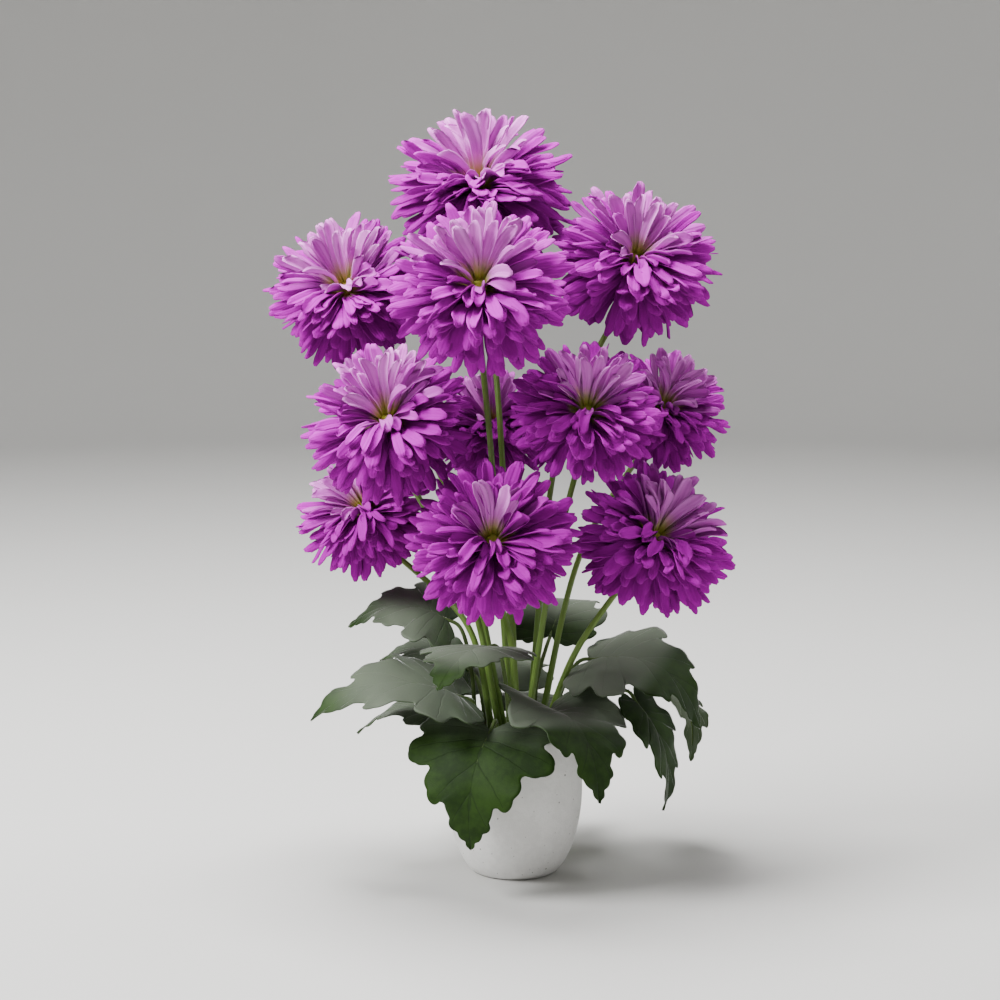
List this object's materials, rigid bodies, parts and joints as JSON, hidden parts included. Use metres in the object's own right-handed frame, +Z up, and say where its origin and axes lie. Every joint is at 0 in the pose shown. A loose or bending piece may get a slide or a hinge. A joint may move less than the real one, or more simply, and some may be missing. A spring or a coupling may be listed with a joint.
{
  "type": "potted chrysanthemum",
  "caption": "Chrysanthemum in a small rounded pot, with globe-shaped layered magenta and pink blooms on tall stems above a collar of lobed leaves.",
  "frame": {"origin": "centre of the pot's flat underside", "axes": "+Z up along the pot's axis; -Y towards the side that the blooms face; +X to the right of someone who looks along +Y"},
  "size_m": [0.3228, 0.2677, 0.5333],
  "materials": {
    "pot": "matte",
    "soil": "matte",
    "stem": "matte",
    "petal": "matte",
    "leaf": "satin"
  },
  "bodies": {
    "root": {"pot": "pot", "soil": "soil", "stem_01": "stem", "stem_02": "stem", "stem_03": "stem", "stem_04": "stem", "stem_05": "stem", "stem_06": "stem", "stem_07": "stem", "stem_08": "stem", "stem_09": "stem", "stem_10": "stem", "stem_11": "stem", "bloom_01": "petal", "bloom_02": "petal", "bloom_03": "petal", "bloom_04": "petal", "bloom_05": "petal", "bloom_06": "petal", "bloom_07": "petal", "bloom_08": "petal", "bloom_09": "petal", "bloom_10": "petal", "bloom_11": "petal", "leaf_01": "leaf", "leaf_02": "leaf", "leaf_03": "leaf", "leaf_04": "leaf", "leaf_05": "leaf", "leaf_06": "leaf", "leaf_07": "leaf", "leaf_08": "leaf", "leaf_09": "leaf", "leaf_10": "leaf", "leaf_11": "leaf", "leaf_12": "leaf", "leaf_13": "leaf"}
  },
  "joints": []
}
